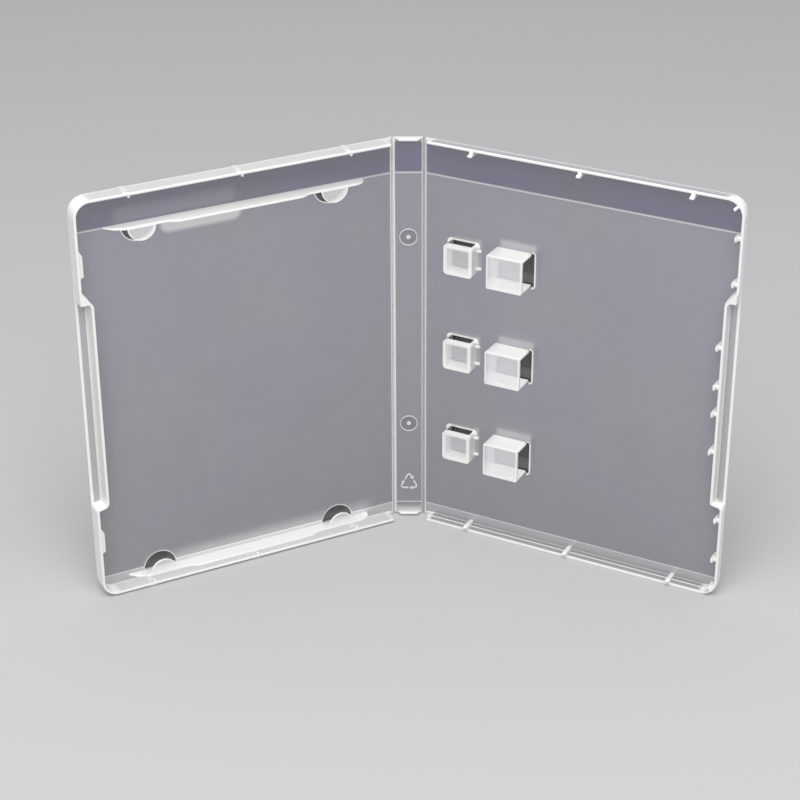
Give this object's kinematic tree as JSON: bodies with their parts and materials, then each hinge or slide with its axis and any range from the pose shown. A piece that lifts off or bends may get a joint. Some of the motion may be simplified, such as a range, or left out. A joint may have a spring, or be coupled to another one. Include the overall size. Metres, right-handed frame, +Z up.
{
  "type": "stick storage case",
  "caption": "Clear hinged case standing open like a book: shallow cover with booklet clips, narrow spine, and tray with small and large pockets for sticks.",
  "frame": {"origin": "middle of the lower lip of the tray, on the surface that the case stands on", "axes": "+X along the tray away from the spine, +Y out of the tray's outer skin, +Z up along the hinges"},
  "size_m": [0.2233, 0.1202, 0.1715],
  "materials": {
    "moulded_shell": "milky clear polypropylene, satin",
    "hinge_web": "milky clear polypropylene, whitened by bending",
    "booklet_clip": "milky clear polypropylene, satin",
    "stick_pocket": "milky clear polypropylene, satin",
    "moulding_mark": "milky clear polypropylene, satin",
    "welded_film": "clear glossy film"
  },
  "bodies": {
    "tray": {"tray_shell": "moulded_shell", "tray_hinge_web": "hinge_web", "tray_film": "welded_film", "tray_small_pocket_lower": "stick_pocket", "tray_large_pocket_lower": "stick_pocket", "tray_small_pocket_middle": "stick_pocket", "tray_large_pocket_middle": "stick_pocket", "tray_small_pocket_upper": "stick_pocket", "tray_large_pocket_upper": "stick_pocket"},
    "spine": {"spine_shell": "moulded_shell", "spine_gate_mark_lower": "moulding_mark", "spine_gate_mark_upper": "moulding_mark", "spine_triangle_mark": "moulding_mark", "spine_film": "welded_film"},
    "cover": {"cover_shell": "moulded_shell", "cover_hinge_web": "hinge_web", "cover_lower_clip": "booklet_clip", "cover_upper_clip": "booklet_clip", "cover_catch_lower": "booklet_clip", "cover_catch_upper": "booklet_clip", "cover_film": "welded_film"}
  },
  "joints": [
    {"name": "tray_hinge", "type": "hinge", "parent": "tray", "child": "spine", "pos_m": [-0.0658, 0.00405, 0.08575], "axis": [0, 0, 1], "range_deg": [-27.4, 62.6]},
    {"name": "cover_hinge", "type": "hinge", "parent": "spine", "child": "cover", "pos_m": [-0.07708, -0.00179, 0.08575], "axis": [0, 0, 1], "range_deg": [-27.4, 62.6]}
  ]
}
